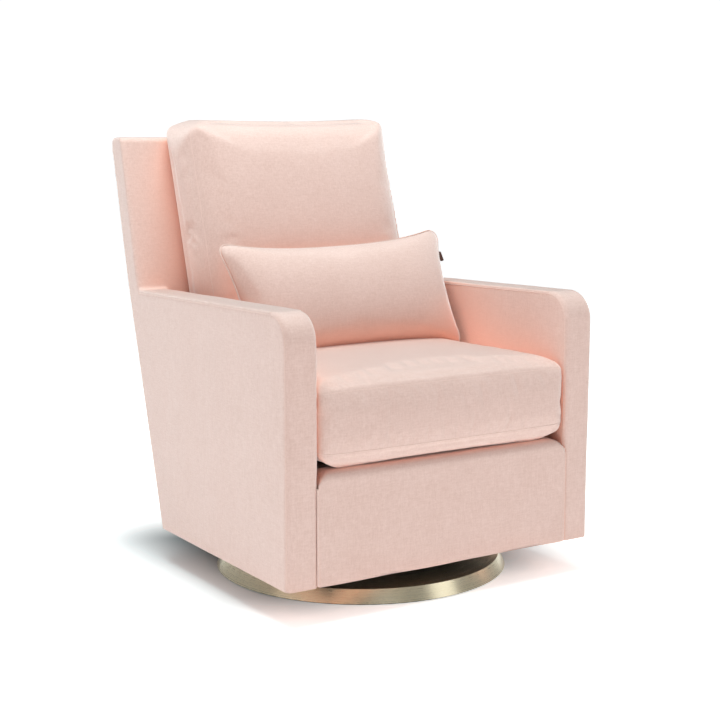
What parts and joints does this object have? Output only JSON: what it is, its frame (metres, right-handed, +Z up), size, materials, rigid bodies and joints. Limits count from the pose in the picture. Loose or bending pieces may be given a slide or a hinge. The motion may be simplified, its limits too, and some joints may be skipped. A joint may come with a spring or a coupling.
{
  "type": "glider nursery chair",
  "caption": "Upholstered swivel glider armchair on a round metal base, with loose seat, back and lumbar cushions.",
  "frame": {"origin": "on the floor, at the centre of the round base, on the swivel axis", "axes": "+Z up along the swivel axis; the sitter faces -Y; +X is the sitter's left"},
  "size_m": [0.7494, 0.823, 0.962],
  "materials": {
    "upholstery": "blush pink chenille-like velvet, matt, with a soft pale sheen at grazing angles",
    "gold_metal": "pale champagne gold, satin brushed",
    "black_steel": "black powder coat",
    "zinc_steel": "bright zinc plate",
    "spring_steel": "bare drawn wire",
    "plywood": "bare birch plywood",
    "hardwood": "bare planed hardwood",
    "deck_cloth": "grey-beige platform cloth",
    "dust_cloth": "black non-woven dust cloth",
    "rubber": "matt black rubber"
  },
  "bodies": {
    "base": {"floor_pad": "rubber", "base_weight_plate": "black_steel", "base_cover": "gold_metal", "king_bolt": "zinc_steel", "king_nut": "zinc_steel", "bearing_lower_race": "zinc_steel"},
    "ball_cage": {"bearing_ball_cage": "zinc_steel"},
    "swivel": {"bearing_upper_race": "zinc_steel", "swivel_plate": "black_steel", "cross_tie_front": "black_steel", "cross_tie_rear": "black_steel", "glide_stand_left": "black_steel", "glide_stand_right": "black_steel", "upper_pivot_bolt_front_left": "zinc_steel", "upper_pivot_bolt_rear_left": "zinc_steel", "upper_pivot_bolt_front_right": "zinc_steel", "upper_pivot_bolt_rear_right": "zinc_steel", "stop_bumper_front_left": "rubber", "stop_bumper_rear_left": "rubber", "stop_bumper_front_right": "rubber", "stop_bumper_rear_right": "rubber"},
    "front_links": {"glide_link_front_left": "zinc_steel", "glide_link_front_right": "zinc_steel"},
    "rear_links": {"glide_link_rear_left": "zinc_steel", "glide_link_rear_right": "zinc_steel"},
    "chair": {"hanger_rail_left": "black_steel", "hanger_rail_right": "black_steel", "lower_pivot_bolt_front_left": "zinc_steel", "lower_pivot_bolt_rear_left": "zinc_steel", "lower_pivot_bolt_front_right": "zinc_steel", "lower_pivot_bolt_rear_right": "zinc_steel", "rail_screw_front_left": "zinc_steel", "rail_screw_rear_left": "zinc_steel", "rail_screw_front_right": "zinc_steel", "rail_screw_rear_right": "zinc_steel", "side_panel_left": "plywood", "side_panel_right": "plywood", "seat_rail_left": "hardwood", "seat_rail_right": "hardwood", "front_rail": "hardwood", "front_apron_rail": "hardwood", "rear_rail": "hardwood", "back_top_rail": "hardwood", "back_lumbar_rail": "hardwood", "seat_spring_1": "spring_steel", "seat_spring_2": "spring_steel", "seat_spring_3": "spring_steel", "seat_spring_4": "spring_steel", "seat_spring_5": "spring_steel", "arm_cover_left": "upholstery", "arm_cover_right": "upholstery", "front_cover": "upholstery", "back_cover": "upholstery", "seat_deck": "deck_cloth", "dust_cover": "dust_cloth"},
    "seat_cushion": {"seat_cushion": "upholstery"},
    "back_cushion": {"back_cushion": "upholstery"},
    "lumbar_pillow": {"lumbar_pillow": "upholstery"}
  },
  "joints": [
    {"name": "swivel", "type": "hinge", "parent": "base", "child": "swivel", "pos_m": [0, 0, 0.039], "axis": [0, 0, 1], "continuous": true},
    {"name": "ball_roll", "type": "hinge", "parent": "base", "child": "ball_cage", "pos_m": [0, 0, 0.039], "axis": [0, 0, 1], "continuous": true},
    {"name": "glide", "type": "hinge", "parent": "swivel", "child": "rear_links", "pos_m": [0, 0.11, 0.235], "axis": [1, 0, 0], "range_deg": [-18, 18]},
    {"name": "front_link_swing", "type": "hinge", "parent": "swivel", "child": "front_links", "pos_m": [0, -0.11, 0.235], "axis": [1, 0, 0], "range_deg": [-18, 18]},
    {"name": "chair_level", "type": "hinge", "parent": "rear_links", "child": "chair", "pos_m": [0, 0.11, 0.112], "axis": [1, 0, 0], "range_deg": [-18, 18]},
    {"name": "seat_cushion_lift", "type": "slide", "parent": "chair", "child": "seat_cushion", "axis": [0, 0, 1], "range_m": [0, 0.15]},
    {"name": "back_cushion_lift", "type": "slide", "parent": "seat_cushion", "child": "back_cushion", "axis": [0, 0.2795, 0.9602], "range_m": [0, 0.25]},
    {"name": "pillow_lift", "type": "slide", "parent": "seat_cushion", "child": "lumbar_pillow", "axis": [0, -0.342, 0.9397], "range_m": [0, 0.2]}
  ],
  "couplings": [
    {"joint": "ball_roll", "follows": "swivel", "ratio": 0.5},
    {"joint": "front_link_swing", "follows": "glide", "ratio": 1},
    {"joint": "chair_level", "follows": "glide", "ratio": -1}
  ]
}
